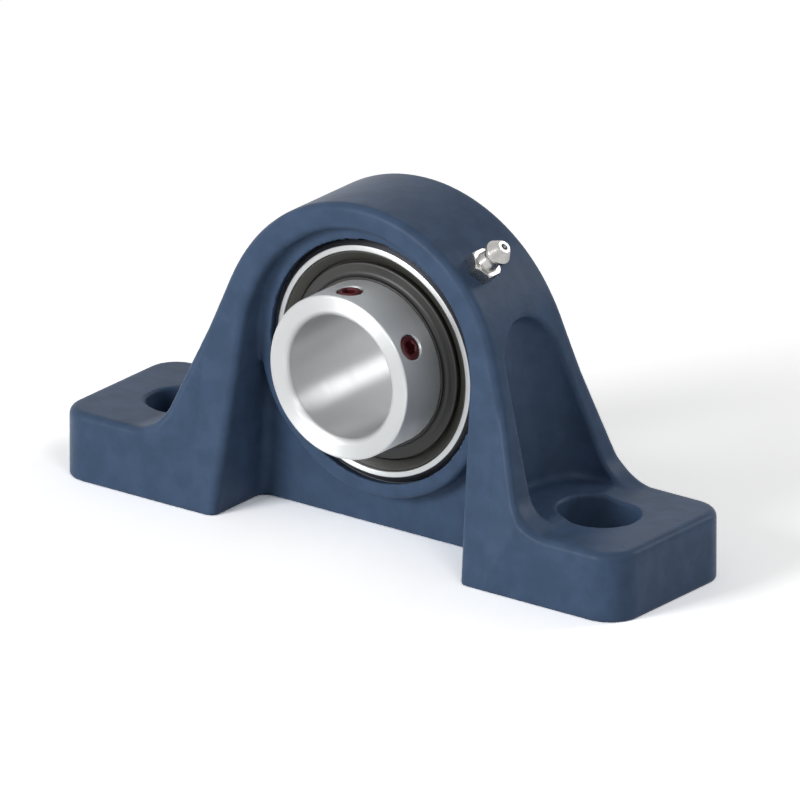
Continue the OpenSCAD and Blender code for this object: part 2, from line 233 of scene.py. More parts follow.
def turnedPiece(name, corners, segments=160, flip=1):
    # outline carried round the shaft's axis; flip -1 makes the front's copy of a piece that is
    # drawn for the back
    outline = roundedProfile(corners)
    following = np.roll(outline, -1, axis=0)
    area = np.sum(outline[:, 0] * following[:, 1] - outline[:, 1] * following[:, 0])
    if area * flip > 0:
        outline = outline[::-1]
    turn = np.linspace(0, 2 * np.pi, segments, endpoint=False)
    radial = outline[:, 0][:, None]
    along = np.broadcast_to(outline[:, 1][:, None] * flip, (len(outline), segments))
    points = np.stack([radial * np.cos(turn), along, axisHeight + radial * np.sin(turn)], axis=2)
    i, j = np.meshgrid(np.arange(len(outline)), np.arange(segments), indexing="ij")
    iNext = (i + 1) % len(outline)
    jNext = (j + 1) % segments
    here = i * segments
    ahead = iNext * segments
    faces = np.stack([here + j, here + jNext, ahead + jNext, ahead + j], axis=2)
    piece = makeMesh(name, points.reshape(-1, 3), faces.reshape(-1, 4))
    print("made", name, faces.size // 4, "faces")
    return piece


def ballPiece(name, centre, radius, count=16):
    # ball from the six sides of a cube, each a net of squares blown out to the radius
    t = np.tan(np.linspace(-np.pi / 4, np.pi / 4, count + 1))
    u, v = np.meshgrid(t, t, indexing="ij")
    points = []
    faces = []
    for side in range(3):
        for sign in (-1, 1):
            square = np.empty((count + 1, count + 1, 3))
            square[..., side] = sign
            square[..., (side + 1) % 3] = u
            square[..., (side + 2) % 3] = v
            start = len(points) * (count + 1) ** 2
            i, j = np.meshgrid(np.arange(count), np.arange(count), indexing="ij")
            corner = start + i * (count + 1) + j
            quad = np.stack([corner, corner + count + 1, corner + count + 2, corner + 1], axis=2)
            quad = quad.reshape(-1, 4)
            faces.append(quad if sign > 0 else quad[:, ::-1])
            points.append(square.reshape(-1, 3))
    points = np.concatenate(points)
    normals = points / np.linalg.norm(points, axis=1)[:, None]
    return makeMesh(name, np.asarray(centre) + radius * normals, np.concatenate(faces), normals)


def dress(piece, node, body, material):
    # the piece takes the place of a CAD node: it rides the node's body, takes the given material and
    # hides the node
    piece.data.materials.append(material)
    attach(piece, body)
    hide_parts(node)


# Materials

def fromHex(text):
    # sRGB hex to the linear colour that the shader wants
    value = np.array([int(text[i:i + 2], 16) / 255 for i in (1, 3, 5)])
    linear = np.where(value <= 0.04045, value / 12.92, ((value + 0.055) / 1.055) ** 2.4)
    return (*linear, 1.0)


def addNode(tree, kind, inputs=None, **settings):
    # one node with its settings; an input is a value, or another node's output to link
    node = tree.nodes.new(kind)
    for name, value in settings.items():
        setattr(node, name, value)
    for socket, value in (inputs or {}).items():
        if isinstance(value, bpy.types.NodeSocket):
            tree.links.new(value, node.inputs[socket])
        else:
            node.inputs[socket].default_value = value
    return node


def newMaterial(name):
    # empty material: its node tree and its output node
    material = bpy.data.materials.new(name)
    material.use_nodes = True
    tree = material.node_tree
    tree.nodes.clear()
    output = addNode(tree, "ShaderNodeOutputMaterial")
    return material, tree, output


def perMetre(size):
    # texture scale at which a pattern repeats about once in a size given in millimetres
    return 1 / (size * mm)


paintedIron = {
    "colour": "#445772",
    "darkColour": "#3E5069",
    "roughness": 0.37,
    "specular": 0.09,
    "grain": 0.7,        # sand grain that shows through the paint
    "lump": 5.0,         # slow unevenness of the cast skin
    "grainDepth": 0.035,
    "lumpDepth": 0.1,
    "patchFrom": 0.35,   # share of the lumps' range over which the paint darkens
    "patchTo": 0.65,
}


def makePaintedIron():
    # Satin enamel over sand-cast iron: the paint softens the sand's grain, so highlights break up
    # in a fine pebble and the colour shifts a little where the film is thicker.
    material, tree, output = newMaterial("satinEnamelOnCastIron")
    look = paintedIron
    place = addNode(tree, "ShaderNodeTexCoord").outputs["Object"]
    grain = addNode(tree, "ShaderNodeTexNoise", {
        "Vector": place, "Scale": perMetre(look["grain"]), "Detail": 3.0})
    lump = addNode(tree, "ShaderNodeTexNoise", {
        "Vector": place, "Scale": perMetre(look["lump"]), "Detail": 2.0})
    shift = addNode(tree, "ShaderNodeMapRange", {
        "Value": lump.outputs["Fac"], "From Min": look["patchFrom"], "From Max": look["patchTo"]})
    colour = addNode(tree, "ShaderNodeMix", {
        "Factor": shift.outputs["Result"],
        "A": fromHex(look["colour"]),
        "B": fromHex(look["darkColour"]),
    }, data_type="RGBA")
    lumps = addNode(tree, "ShaderNodeBump", {
        "Height": lump.outputs["Fac"], "Strength": 1.0, "Distance": look["lumpDepth"] * mm})
    grains = addNode(tree, "ShaderNodeBump", {
        "Height": grain.outputs["Fac"], "Strength": 1.0, "Distance": look["grainDepth"] * mm,
        "Normal": lumps.outputs["Normal"]})
    shader = addNode(tree, "ShaderNodeBsdfPrincipled", {
        "Base Color": colour.outputs["Result"], "Roughness": look["roughness"],
        "Specular IOR Level": look["specular"], "Normal": grains.outputs["Normal"]})
    tree.links.new(shader.outputs["BSDF"], output.inputs["Surface"])
    return material


groundSteel = {
    "colour": "#CFD1D2",
    # painted shade: the bore's colour is darker, standing in for the shade inside the bore
    "boreShadeColour": "#BFC0C1",
    "boreRadius": 15.5,
    # painted shade: the bevels' near-black colour stands in for the shadow in the gap round the outer
    # ring
    "bevelShadeColour": "#4A4B50",
    "bevelShadeFrom": 28.3,    # radii between which the outer ring's bevels lie, painted dark as shade
    "bevelShadeTo": 30.05,
    "smoothest": 0.35,    # roughness on the finest and on the coarsest grinding lines
    "roughest": 0.48,
    "line": 0.3,          # grinding marks are finer than this, drawn as coarse as they show
    "lineDepth": 0.0015,
    "lineRelief": 0.6,
    "lineAcross": 0.03,   # share of the pattern's change that is left round the axis
    "stretch": 0.8,
}


def makeGroundSteel():
    # Through-hardened ring steel, ground round its axis: fine rings across the shaft's direction
    # stretch the highlights along it. The bore's colour is darker, as painted shade inside the bore,
    # and the outer ring's bevels are near black, as painted shade in the gap round the ring.
    material, tree, output = newMaterial("groundBearingSteel")
    look = groundSteel
    place = addNode(tree, "ShaderNodeTexCoord").outputs["Object"]
    across = look["lineAcross"]
    stretched = addNode(tree, "ShaderNodeMapping", {"Vector": place, "Scale": (across, 1.0, across)})
    lines = addNode(tree, "ShaderNodeTexNoise", {
        "Vector": stretched.outputs["Vector"], "Scale": perMetre(look["line"]), "Detail": 2.0})
    rough = addNode(tree, "ShaderNodeMapRange", {
        "Value": lines.outputs["Fac"], "To Min": look["smoothest"], "To Max": look["roughest"]})
    bump = addNode(tree, "ShaderNodeBump", {
        "Height": lines.outputs["Fac"],
        "Strength": look["lineRelief"],
        "Distance": look["lineDepth"] * mm,
    })
    around = addNode(tree, "ShaderNodeTangent", direction_type="RADIAL", axis="Y")
    fromAxis = addNode(tree, "ShaderNodeVectorMath", {
        0: place, 1: tuple(bearingCentre * mm)}, operation="SUBTRACT")
    flattened = addNode(tree, "ShaderNodeVectorMath", {
        0: fromAxis.outputs[0], 1: (1, 0, 1)}, operation="MULTIPLY")
    radius = addNode(tree, "ShaderNodeVectorMath", {0: flattened.outputs[0]}, operation="LENGTH")
    outside = addNode(tree, "ShaderNodeMath", {
        0: radius.outputs["Value"], 1: look["boreRadius"] * mm}, operation="GREATER_THAN")
    # painted shade: inside the bore radius the colour turns to the darker bore colour
    ground = addNode(tree, "ShaderNodeMix", {
        "Factor": outside.outputs[0],
        "A": fromHex(look["boreShadeColour"]),
        "B": fromHex(look["colour"]),
    }, data_type="RGBA")
    # painted shade: between these radii the colour turns near black
    bevel = addNode(tree, "ShaderNodeMath", {
        0: radius.outputs["Value"],
        1: (look["bevelShadeFrom"] + look["bevelShadeTo"]) / 2 * mm,
        2: (look["bevelShadeTo"] - look["bevelShadeFrom"]) / 2 * mm,
    }, operation="COMPARE")
    colour = addNode(tree, "ShaderNodeMix", {
        "Factor": bevel.outputs[0],
        "A": ground.outputs["Result"],
        "B": fromHex(look["bevelShadeColour"]),
    }, data_type="RGBA")
    shader = addNode(tree, "ShaderNodeBsdfPrincipled", {
        "Base Color": colour.outputs["Result"], "Metallic": 1.0,
        "Anisotropic": look["stretch"], "Anisotropic Rotation": 0.25,
        "Tangent": around.outputs["Tangent"],
        "Roughness": rough.outputs["Result"], "Normal": bump.outputs["Normal"]})
    tree.links.new(shader.outputs["BSDF"], output.inputs["Surface"])
    return material


# Roughness and how far it spreads, size and depth of the grain in millimetres, and metal or not.
finishes = {
    # Chrome steel balls, lapped: nearly a mirror.
    "lappedChromeSteel": {
        "colour": "#D4D6DA", "roughness": 0.08, "spread": 0.02,
        "grain": 2.0, "depth": 0.002, "metallic": 1.0},
    # Glass-filled nylon, moulded: pale, dull and slightly mottled.
    "mouldedNylon": {
        "colour": "#CFC8AE", "roughness": 0.5, "spread": 0.04,
        "grain": 0.8, "depth": 0.01, "metallic": 0.0},
    # Sheet steel, blackened: dark with a soft satin sheen.
    "blackenedSheetSteel": {
        "colour": "#2A2928", "roughness": 0.42, "spread": 0.04,
        "grain": 0.5, "depth": 0.004, "metallic": 0.0},
    # Sheet steel, phosphated: dark olive grey, a little duller.
    "phosphatedSheetSteel": {
        "colour": "#302F2A", "roughness": 0.48, "spread": 0.04,
        "grain": 0.5, "depth": 0.004, "metallic": 0.0},
    # Nitrile rubber, moulded: black and dull.
    "nitrileRubber": {
        "colour": "#1C1C1D", "roughness": 0.55, "spread": 0.04,
        "grain": 0.6, "depth": 0.01, "metallic": 0.0},
    # Thread lock dye over steel: deep red and half glossy.
    "redThreadLockOnSteel": {
        "colour": "#5A1A1E", "roughness": 0.4, "spread": 0.04,
        "grain": 0.4, "depth": 0.008, "metallic": 0.0},
    # Zinc plate over turned steel: bright grey with a slight haze.
    "zincPlatedSteel": {
        "colour": "#B9B8B5", "roughness": 0.26, "spread": 0.04,
        "grain": 0.6, "depth": 0.006, "metallic": 1.0},
}
dullShare = 0.86      # brightness of the darkest grain against the colour
grainRelief = 0.7


def makeFinish(name):
    # plain finish with a fine grain in its roughness and relief, and a slight change of colour
    material, tree, output = newMaterial(name)
    look = finishes[name]
    place = addNode(tree, "ShaderNodeTexCoord").outputs["Object"]
    noise = addNode(tree, "ShaderNodeTexNoise", {
        "Vector": place, "Scale": perMetre(look["grain"]), "Detail": 3.0})
    rough = addNode(tree, "ShaderNodeMapRange", {
        "Value": noise.outputs["Fac"],
        "To Min": look["roughness"] - look["spread"],
        "To Max": look["roughness"] + look["spread"],
    })
    bright = fromHex(look["colour"])
    dull = tuple(dullShare * part for part in bright[:3]) + (1.0,)
    tint = addNode(tree, "ShaderNodeMix", {
        "Factor": noise.outputs["Fac"], "A": dull, "B": bright}, data_type="RGBA")
    bump = addNode(tree, "ShaderNodeBump", {
        "Height": noise.outputs["Fac"], "Strength": grainRelief, "Distance": look["depth"] * mm})
    shader = addNode(tree, "ShaderNodeBsdfPrincipled", {
        "Base Color": tint.outputs["Result"], "Metallic": look["metallic"],
        "Roughness": rough.outputs["Result"], "Normal": bump.outputs["Normal"]})
    tree.links.new(shader.outputs["BSDF"], output.inputs["Surface"])
    return material


print("materials")
enamel = makePaintedIron()
ringSteel = makeGroundSteel()
ballSteel = makeFinish("lappedChromeSteel")
cageNylon = makeFinish("mouldedNylon")
blackSheet = makeFinish("blackenedSheetSteel")
oliveSheet = makeFinish("phosphatedSheetSteel")
sealRubber = makeFinish("nitrileRubber")
redScrew = makeFinish("redThreadLockOnSteel")
zincPlate = makeFinish("zincPlatedSteel")


# Housing

casting = {
    "footHeight": 17.0,
    "footCorner": 8.0,
    "footEdge": 2.0,
    "boltSpacing": 121.0,
    "slotWidth": 17.0,
    "slotLength": 20.0,
    "archDepth": 27.6,
    "archTopDepth": 26.6,
    "rakeHeight": 60.0,
    "flankAngle": 20.4,
    "archDrop": 1.4,
    "flankFillet": 7.0,
    "legBase": 7.0,
    "archEdge": 2.0,
    "pocketWall": 5.0,
    "pocketTop": 59.5,
    "pocketSill": 1.0,
    "boltClear": 20.3,
    "pocketLean": 7.6,
    "pocketEdge": 1.0,
    "pocketFloorEdge": 1.6,
    "pocketBackEdge": 3.0,
    "hubWidth": 18.0,
    "hubWall": 2.6,
    "hubEdge": 1.2,
    "hubFillet": 1.5,
    "recessStep": 2.2,
    "recessFlare": 2.8,
    "recessEdge": 2.1,
    "recessFloorEdge": 2.5,
    "webThickness": 8.0,
    "rakeBlend": 0.6,        # square millimetres: how softly the raked faces turn upright
    "slantInset": 1.0,
    "slotEdge": 0.7,
    "sphere": 31.0,
    "seatGap": 0.05,
    "seatEdge": 0.4,
    "loadWidth": 17.6,
    "nippleForward": 5.0,
    "nippleSink": 0.2,       # how far the nipple sits below the arch's skin
    "nippleHole": 3.0,
    "nippleHoleDepth": 6.5,
    "nippleHoleEdge": 0.3,
    "baseEdge": 0.5,
    "netStep": 0.8,
    "netMargin": 2.0,
}


def housingField(x, y, z):
    # Foot with a round-cornered plan, joined to an arch of a circle and two leaning tangents; the
    # arch's faces rake in with height. Cut out of them: a recess in each face, a pocket over each
    # foot, the bolt slots, the spherical seat, the loading slots and the nipple's hole.
    c = casting
    low, high = housingBox
    ax, ay = np.abs(x), np.abs(y)
    rise = z - axisHeight
    archZ = axisHeight - c["archDrop"]
    archRadius = high[2] - archZ
    halfLength = high[0]
    footMiddle = (high[1] + low[1]) / 2
    lean = math.radians(c["flankAngle"])

    # arch seen from the front
    tangentX = archRadius * math.cos(lean)
    tangentZ = archZ + archRadius * math.sin(lean)
    flank = (ax - tangentX) * math.cos(lean) + (z - tangentZ) * math.sin(lean)
    onRound = (z - archZ) * math.cos(lean) > ax * math.sin(lean)
    front = np.where(onRound, np.hypot(ax, z - archZ) - archRadius, flank)
    flankX = tangentX + (tangentZ - c["footHeight"]) * math.tan(lean)
    filletX = flankX + c["flankFillet"] / math.cos(lean)
    outline = np.maximum(roundUnion(front, z - c["footHeight"], c["flankFillet"]), ax - filletX)

    # seen from the side: upright above, raked below, and flush with the foot's faces outside a
    # slant that climbs from the leg's base to the foot's top
    sphere = c["sphere"]
    recessRadius = sphere + c["recessStep"]
    legX = recessRadius + c["recessFlare"] + c["legBase"]
    slantX = flankX - c["slantInset"] - legX
    footReach = np.where(y < 0, -low[1], high[1])
    rake = (footReach - c["archDepth"] / 2) / c["rakeHeight"]
    draft = (c["archDepth"] - c["archTopDepth"]) / 2 / (high[2] - c["rakeHeight"])
    slant = c["footHeight"] * np.clip((ax - legX) / slantX, 0, 1)
    raked = footReach - rake * np.maximum(z - slant, 0)
    upright = c["archDepth"] / 2 - draft * (z - c["rakeHeight"])
    halfDepth = 0.5 * (raked + upright + np.sqrt((raked - upright) ** 2 + c["rakeBlend"]))
    side = (ay - halfDepth) / np.hypot(1, rake)
    arch = roundCut(outline, side, c["archEdge"])
    foot = roundCut(roundCut(ax - halfLength, side, c["footCorner"]), z - c["footHeight"], c["footEdge"])
    solid = np.minimum(foot, arch)

    # recess in each face, and the hub in it that holds the seat
    radial = np.hypot(x, rise)
    flare = c["recessFlare"] / axisHeight
    wall = (ax - recessRadius + flare * rise) / math.hypot(1, flare)
    recess = np.where(rise > 0, radial - recessRadius, wall)
    recess = roundCut(recess, c["webThickness"] / 2 - ay, c["recessFloorEdge"])
    solid = roundCut(solid, -recess, c["recessEdge"])
    hub = roundCut(radial - sphere - c["hubWall"], ay - c["hubWidth"] / 2, c["hubEdge"])
    solid = roundUnion(solid, hub, c["hubFillet"])

    # pocket in each flank
    frontLow, rearLow = -low[1] - c["pocketWall"], high[1] - c["pocketWall"]
    frontRake = (-low[1] - c["archDepth"] / 2) / c["rakeHeight"]
    rearRake = (high[1] - c["archDepth"] / 2) / c["rakeHeight"]
    frontSlant, rearSlant = math.hypot(1, frontRake), math.hypot(1, rearRake)
    topRadius = (frontLow + rearLow - (frontRake + rearRake) * c["pocketTop"]) / (
        frontSlant + rearSlant - frontRake - rearRake)
    topZ = c["pocketTop"] - topRadius
    topY = topRadius * frontSlant - frontLow + frontRake * topZ
    frontWall = (-y - frontLow + frontRake * z) / frontSlant
    rearWall = (y - rearLow + rearRake * z) / rearSlant
    outward = np.where(y < topY, frontRake * (topY - y), rearRake * (y - topY))
    pocket = np.where(
        z - topZ > outward, np.hypot(y - topY, z - topZ) - topRadius, np.maximum(frontWall, rearWall))
    tilt = math.radians(c["pocketLean"])
    boltX = c["boltSpacing"] / 2
    across = (ax - boltX) * math.cos(tilt) + (z - c["footHeight"]) * math.sin(tilt)
    pocket = roundCut(pocket, np.hypot(across, y - footMiddle) - c["boltClear"], c["pocketBackEdge"])
    pocket = roundCut(pocket, c["footHeight"] + c["pocketSill"] - z, c["pocketFloorEdge"])
    solid = roundCut(solid, -pocket, c["pocketEdge"])

    # bolt slots
    reach = (c["slotLength"] - c["slotWidth"]) / 2
    slot = np.hypot(np.maximum(np.abs(ax - boltX) - reach, 0), y - footMiddle) - c["slotWidth"] / 2
    solid = roundCut(solid, -slot, c["slotEdge"])

    # seat, and the slots at the back through which the bearing is swung in
    ball = np.sqrt(radial ** 2 + y ** 2) - sphere - c["seatGap"]
    solid = roundCut(solid, -ball, c["seatEdge"])
    loading = np.maximum(np.maximum(ax - sphere - c["seatGap"], -y), np.abs(rise) - c["loadWidth"] / 2)
    solid = roundCut(solid, -loading, c["seatEdge"])

    # hole for the nipple
    along = x * nippleAxis[0] + rise * nippleAxis[2]
    offAxis = (x - along * nippleAxis[0]) ** 2 + (rise - along * nippleAxis[2]) ** 2
    aside = np.sqrt(offAxis + (y - nippleY) ** 2)
    hole = np.maximum(aside - c["nippleHole"], nippleSeat - c["nippleHoleDepth"] - along)
    solid = roundCut(solid, -hole, c["nippleHoleEdge"])
    return roundCut(solid, -z, c["baseEdge"])


print("housing")
housingBox = nodeBox("housing")
nippleAxis = np.array(jointsByName["nipple_ball_press"]["axis"])
nippleY = -casting["nippleForward"]
archRadius = housingBox[1][2] - axisHeight + casting["archDrop"]
nippleLean = nippleAxis * casting["archDrop"]
# The seat lies where the nipple's axis leaves the arch's round, a little below it.
nippleSeat = math.sqrt(archRadius ** 2 - nippleLean[0] ** 2) - nippleLean[2] - casting["nippleSink"]
margin = casting["netMargin"]
housing = netPiece(
    "housing_casting", housingField, housingBox[0] - margin, housingBox[1] + margin, casting["netStep"])
dress(housing, "housing", "housing", enamel)


# Bearing

bearing = {
    "sphere": casting["sphere"],
    "faceRadius": 28.2,
    "halfWidth": 8.5,
    "sealRadius": 27.0,
    "shieldSeat": 5.85,
    "land": 25.2,
    "outerRaceCentre": 22.8725,
    "innerRaceCentre": 23.1275,
    "raceRadius": 4.95,
    "ringRadius": 20.1,
    "bore": 15.0,
    "boreChamfer": 1.1,
    "ringEdge": 0.6,
    "screwRadius": 3.0,
    "screwInset": 5.4,
    "screwSink": 0.45,
    "ballRadius": 4.7625,
    "faceEdge": 0.2,       # roundings of the outer ring's edges
    "sealEdge": 0.15,
    "landEdge": 0.1,
    "boreEdge": 0.2,       # roundings of the inner ring's other edges
    "chamferEdge": 0.3,
    "grooveEdge": 0.15,
    "sinkEdge": 0.12,
    "ringStep": 0.36,
    "margin": 1.0,         # room round a piece for its net
}


def outerRingOutline():
    # sphere outside with chamfered faces, a race groove inside and a counterbore for each seal
    b = bearing
    face, end, seat = b["faceRadius"], b["halfWidth"], b["shieldSeat"]
    bevel = math.sqrt(2 * b["sphere"] ** 2 - (face + end) ** 2)
    rim = math.degrees(math.atan2(face + end - bevel, face + end + bevel))
    groove = math.degrees(math.acos((b["land"] - b["outerRaceCentre"]) / b["raceRadius"]))
    corners = [(b["sealRadius"], -end, b["sealEdge"]), (face, -end, b["faceEdge"])]
    corners += arcCorners(0, 0, b["sphere"], -rim, rim, 32)
    corners += [(face, end, b["faceEdge"]), (b["sealRadius"], end, b["sealEdge"])]
    corners += [(b["sealRadius"], seat, b["landEdge"]), (b["land"], seat, b["landEdge"])]
    corners += arcCorners(b["outerRaceCentre"], 0, b["raceRadius"], groove, -groove)
    corners += [(b["land"], -seat, b["landEdge"]), (b["sealRadius"], -seat, b["landEdge"])]
    return corners


def innerRingField(x, y, z):
    # sleeve with a chamfered bore, a race groove and the tapped, countersunk holes of the screws
    b = bearing
    low, high = innerBox
    radial = np.hypot(x, z - axisHeight)
    middle = (low[1] + high[1]) / 2
    ends = np.abs(y - middle) - (high[1] - low[1]) / 2
    sleeve = roundCut(radial - b["ringRadius"], ends, b["ringEdge"])
    sleeve = roundCut(sleeve, b["bore"] - radial, b["boreEdge"])
    chamfer = (b["bore"] + b["boreChamfer"] - radial + ends) / math.sqrt(2)
    sleeve = roundCut(sleeve, chamfer, b["chamferEdge"])
    groove = np.hypot(radial - b["innerRaceCentre"], y) - b["raceRadius"]
    sleeve = roundCut(sleeve, -groove, b["grooveEdge"])
    for axis in screwAxes:
        along = x * axis[0] + (z - axisHeight) * axis[2]
        aside = np.hypot(x * axis[2] - (z - axisHeight) * axis[0], y - low[1] - b["screwInset"])
        sink = aside - b["screwRadius"] - np.maximum(along - b["ringRadius"] + b["screwSink"], 0)
        sleeve = roundCut(sleeve, -np.maximum(sink, -along), b["sinkEdge"])
    return sleeve


print("bearing")
innerBox = nodeBox("inner_ring")
screwJoints = ("set_screw_1_travel", "set_screw_2_travel")
screwAxes = [np.array(jointsByName[name]["axis"]) for name in screwJoints]
outerRing = turnedPiece("outer_ring_turned", outerRingOutline())
dress(outerRing, "outer_ring", "insert", ringSteel)
margin = bearing["margin"]
innerRing = netPiece(
    "inner_ring_ground", innerRingField, innerBox[0] - margin, innerBox[1] + margin, bearing["ringStep"])
dress(innerRing, "inner_ring", "rotor", ringSteel)

# Corners of the seal's profiles at the back: radius, distance along the shaft, edge radius.
shieldOutline = [
    (21.2, 5.87, 0.1), (26.98, 5.87, 0.15), (26.98, 7.9, 0.2), (26.6, 8.2, 0.3),
    (24.4, 6.95, 0.2), (24.4, 6.45, 0.15), (21.2, 6.45, 0.1),
]
lipOutline = [
    (20.15, 6.45, 0.05), (20.65, 5.75, 0.1), (21.18, 5.75, 0.1), (21.18, 6.47, 0.05),
    (22.6, 6.47, 0.05), (22.5, 6.8, 0.1), (20.9, 6.8, 0.15),
]
flingerOutline = [
    (20.12, 7.35, 0.1), (23.45, 7.35, 0.3), (23.45, 6.8, 0.1), (24.05, 6.8, 0.1), (24.05, 7.65, 0.2),
    (23.75, 7.95, 0.3), (21.5, 7.95, 0.5), (20.8, 8.55, 0.5), (20.7, 9.15, 0.15), (20.12, 9.15, 0.1),
]
for side, flip in (("front", -1), ("rear", 1)):
    shield = turnedPiece(side + "_shield_pressed", shieldOutline, flip=flip)
    dress(shield, side + "_seal_shield", "insert", oliveSheet)
    lip = turnedPiece(side + "_lip_moulded", lipOutline, flip=flip)
    dress(lip, side + "_seal_lip", "insert", sealRubber)
    flinger = turnedPiece(side + "_flinger_pressed", flingerOutline, flip=flip)
    dress(flinger, side + "_flinger", "rotor", blackSheet)

ballNames = [name for name in frame["nodes"] if name.startswith("ball_")]
for name in ballNames:
    centre = np.array(jointsByName[name + "_spin"]["pos_m"]) / mm
    ball = ballPiece(name + "_lapped", centre, bearing["ballRadius"])
    dress(ball, name, name, ballSteel)

cageLook = {
    "inner": 21.3,
    "outer": 24.7,
    "open": -3.2,
    "back": 5.6025,
    "pocket": 4.9025,
    "relief": 1.4,
    "edge": 0.15,
    "step": 0.34,
}


def cageField(x, y, z):
    # ring with a round pocket for each ball and a round relief between each two
    look = cageLook
    rise = z - axisHeight
    radial = np.hypot(x, rise)
    pitch = 2 * math.pi / len(ballNames)
    angle = np.arctan2(rise, x) - math.pi / 2
    fromBall = (angle + pitch / 2) % pitch - pitch / 2
    fromGap = angle % pitch - pitch / 2
    middle = (look["inner"] + look["outer"]) / 2
    ring = np.maximum(np.abs(radial - middle) - (look["outer"] - look["inner"]) / 2,
                      np.abs(y - (look["open"] + look["back"]) / 2) - (look["back"] - look["open"]) / 2)
    across = radial * np.sin(fromBall)
    outward = radial * np.cos(fromBall) - middle
    ring = roundCut(ring, look["pocket"] - np.sqrt(across ** 2 + outward ** 2 + y ** 2), look["edge"])
    relief = np.hypot(radial * np.sin(fromGap), y - look["open"]) - look["relief"]
    return roundCut(ring, -relief, look["edge"])


cageBox = nodeBox("cage")
cage = netPiece("cage_moulded", cageField, cageBox[0] - margin, cageBox[1] + margin, cageLook["step"])
dress(cage, "cage", "cage", cageNylon)


# Set screws

threadSlope = 0.75     # keeps a thread's field no steeper than a distance
screwLook = {
    "tip": 15.15,
    "radius": 2.96,
    "length": 4.9,
    "pitch": 1.0,
    "threadDepth": 0.4,
    "tipChamfer": 0.8,
    "topChamfer": 0.45,
    "endEdge": 0.1,
    "cupRadius": 1.5,
    "cupSlope": 1.6,
    "socket": 3.0,
    "socketDepth": 2.6,
    "mouthChamfer": 0.35,
    "socketEdge": 0.08,
    "margin": 0.5,
    "step": 0.11,
}


def hexField(x, y, acrossFlats):
    # distance to a hexagon with two flats square to x
    widest = np.abs(x)
    for turn in (60, 120):
        a = math.radians(turn)
        widest = np.maximum(widest, np.abs(x * math.cos(a) + y * math.sin(a)))
    return widest - acrossFlats / 2


def threadField(x, y, z, radius, pitch, depth):
    # rod with a thread of one start round it: the radius falls by the depth and rises again once
    # in each pitch
    turnPart = (z / pitch - np.arctan2(y, x) / (2 * math.pi)) % 1
    return (np.hypot(x, y) - radius + depth * np.abs(2 * turnPart - 1)) * threadSlope


def setScrewField(x, y, z):
    # threaded stud with a cup point below and a hexagon socket above; z runs out along its axis
    look = screwLook
    radial = np.hypot(x, y)
    stud = threadField(x, y, z, look["radius"], look["pitch"], look["threadDepth"])
    tipRadius = look["radius"] - look["tipChamfer"]
    topRadius = look["radius"] - look["topChamfer"]
    stud = np.maximum(stud, (radial - tipRadius - z) / math.sqrt(2))
    stud = np.maximum(stud, (radial - topRadius - look["length"] + z) / math.sqrt(2))
    stud = roundCut(stud, np.abs(z - look["length"] / 2) - look["length"] / 2, look["endEdge"])
    cup = (radial - look["cupRadius"] + z * look["cupSlope"]) / math.hypot(1, look["cupSlope"])
    stud = roundCut(stud, -cup, look["socketEdge"])
    socket = np.maximum(hexField(x, y, look["socket"]), look["length"] - look["socketDepth"] - z)
    mouthRadius = look["socket"] / 2 + look["mouthChamfer"]
    mouth = (radial - mouthRadius + look["length"] - z) / math.sqrt(2)
    return roundCut(stud, -np.minimum(socket, mouth), look["socketEdge"])


screwY = innerBox[0][1] + bearing["screwInset"]
for i, axis in enumerate(screwAxes):
    name = f"set_screw_{i + 1}"
    across = np.array([axis[2], 0, -axis[0]])
    margin = screwLook["margin"]
    reach = screwLook["radius"] + margin
    screw = netPiece(
        name + "_threaded", setScrewField,
        (-reach, -reach, -margin), (reach, reach, screwLook["length"] + margin), screwLook["step"],
        origin=bearingCentre + (0, screwY, 0) + axis * screwLook["tip"], axes=(across, (0, 1, 0), axis))
    dress(screw, name, name, redScrew)


# Grease nipple

nippleLook = {
    "hexagon": 7.2,
    "hexHeight": 3.4,
    "shankRadius": 2.97,
    "threadTop": -0.4,
    "threadPitch": 1.0,
    "threadDepth": 0.4,
    "boreEdge": 0.06,
    "margin": 0.2,
    "low": (-5, -5, -6.6),      # corners of the net's box
    "high": (5, 5, 11),
    "step": 0.15,
    "checkBallNet": 10,
}
# Halves of the body's and the bore's sections: radius, height above the seat.
nippleOutline = [
    (0, -6), (2.6, -6), (2.97, -5.6), (2.97, 0), (4.32, 0), (4.32, 2.8), (3.75, 3.4), (2.7, 3.4),
    (2.3, 5.6), (2.3, 6.2), (3.2, 7.1), (3.2, 7.9), (1.95, 10.0), (1.6, 10.4), (0, 10.4),
]
nippleBore = [(0, -7), (0.8, -7), (0.8, 2), (1.3, 2), (1.3, 8.9), (0.805, 9.395), (0.805, 11), (0, 11)]


def outlineField(corners, r, z):
    # distance to a closed outline, negative inside it: the nearest side, and on which side of it
    # the point lies by counting the sides that it sees along r
    nearest = np.full(r.shape, np.inf)
    inside = np.zeros(r.shape, bool)
    for start, end in zip(corners, corners[1:] + corners[:1]):
        sideR, sideZ = end[0] - start[0], end[1] - start[1]
        fromR, fromZ = r - start[0], z - start[1]
        share = np.clip((fromR * sideR + fromZ * sideZ) / (sideR ** 2 + sideZ ** 2), 0, 1)
        nearest = np.minimum(nearest, np.hypot(fromR - share * sideR, fromZ - share * sideZ))
        if sideZ != 0:
            crosses = (start[1] > z) != (end[1] > z)
            inside ^= crosses & (fromR < fromZ * sideR / sideZ)
    return np.where(inside, -nearest, nearest)


def mirrored(half):
    # whole section from the half at positive radii, without the points on the axis
    kept = half[1:-1]
    return kept + [(-r, h) for r, h in reversed(kept)]


